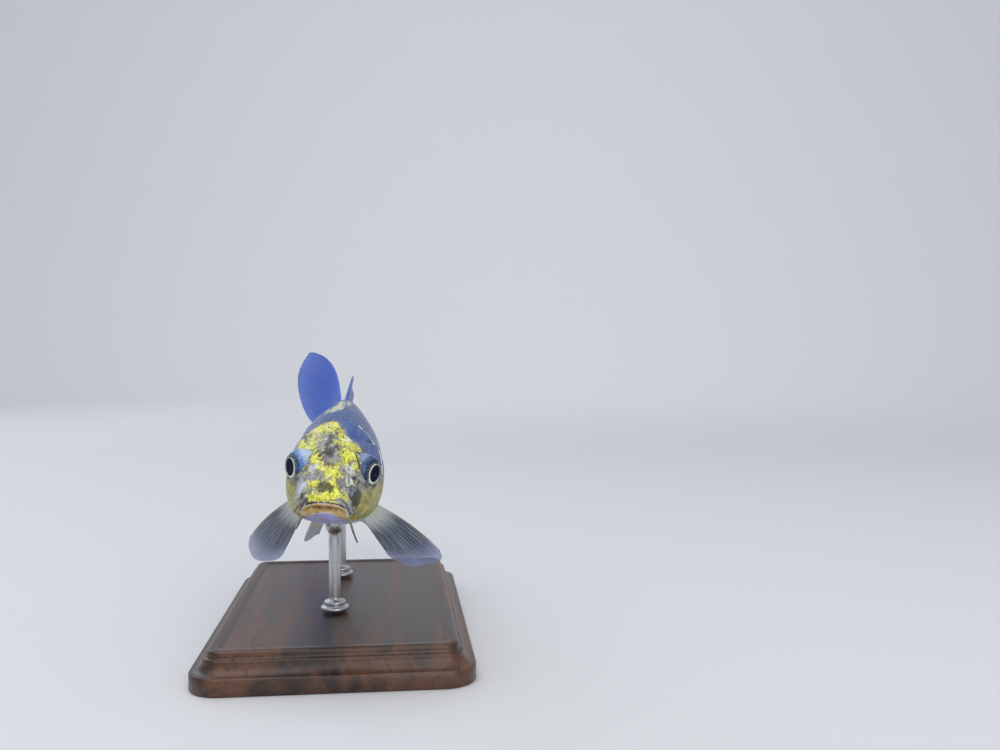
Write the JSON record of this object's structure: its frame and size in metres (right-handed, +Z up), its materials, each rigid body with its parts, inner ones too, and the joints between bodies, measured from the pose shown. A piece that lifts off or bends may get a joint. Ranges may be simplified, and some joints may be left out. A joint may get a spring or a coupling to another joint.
{
  "type": "koi carp model on a display stand",
  "caption": "Life-size young koi carp in a still swimming pose, facing forward with its tail curled aside, held by short rods over a flat base.",
  "frame": {"origin": "middle of the display base's underside", "axes": "+Z up, the fish faces -Y, and +X is towards its left side"},
  "size_m": [0.086, 0.2236, 0.0991],
  "materials": {
    "head_skin": "wet skin, bright yellow mottled with slate and charcoal",
    "lip_skin": "soft wet skin, tan and pale lavender",
    "eye": "clear dome over a silver iris with a thin pale ring and a black pupil",
    "barbel": "soft wet skin",
    "body_skin": "slate blue scaled skin with a net of pale scale edges, silvery below",
    "scales": "glossy overlapping scales with pale edges",
    "fin": "thin translucent membrane between pale rays",
    "stand_wood": "dark satin varnish",
    "stand_metal": "satin"
  },
  "bodies": {
    "root": {"head": "head_skin", "upper_lip": "lip_skin", "lower_jaw": "lip_skin", "gill_cover_left": "head_skin", "gill_cover_right": "head_skin", "eye_left": "eye", "eye_right": "eye", "barbel_long_left": "barbel", "barbel_long_right": "barbel", "barbel_short_left": "barbel", "barbel_short_right": "barbel", "trunk_front": "body_skin", "trunk_rear": "body_skin", "tail_stock": "body_skin", "dorsal_fin": "fin", "anal_fin": "fin", "caudal_fin_upper": "fin", "caudal_fin_lower": "fin", "pectoral_fin_left": "fin", "pectoral_fin_right": "fin", "pelvic_fin_left": "fin", "pelvic_fin_right": "fin", "stand_base": "stand_wood", "stand_rod_front": "stand_metal", "stand_rod_rear": "stand_metal"}
  },
  "joints": []
}
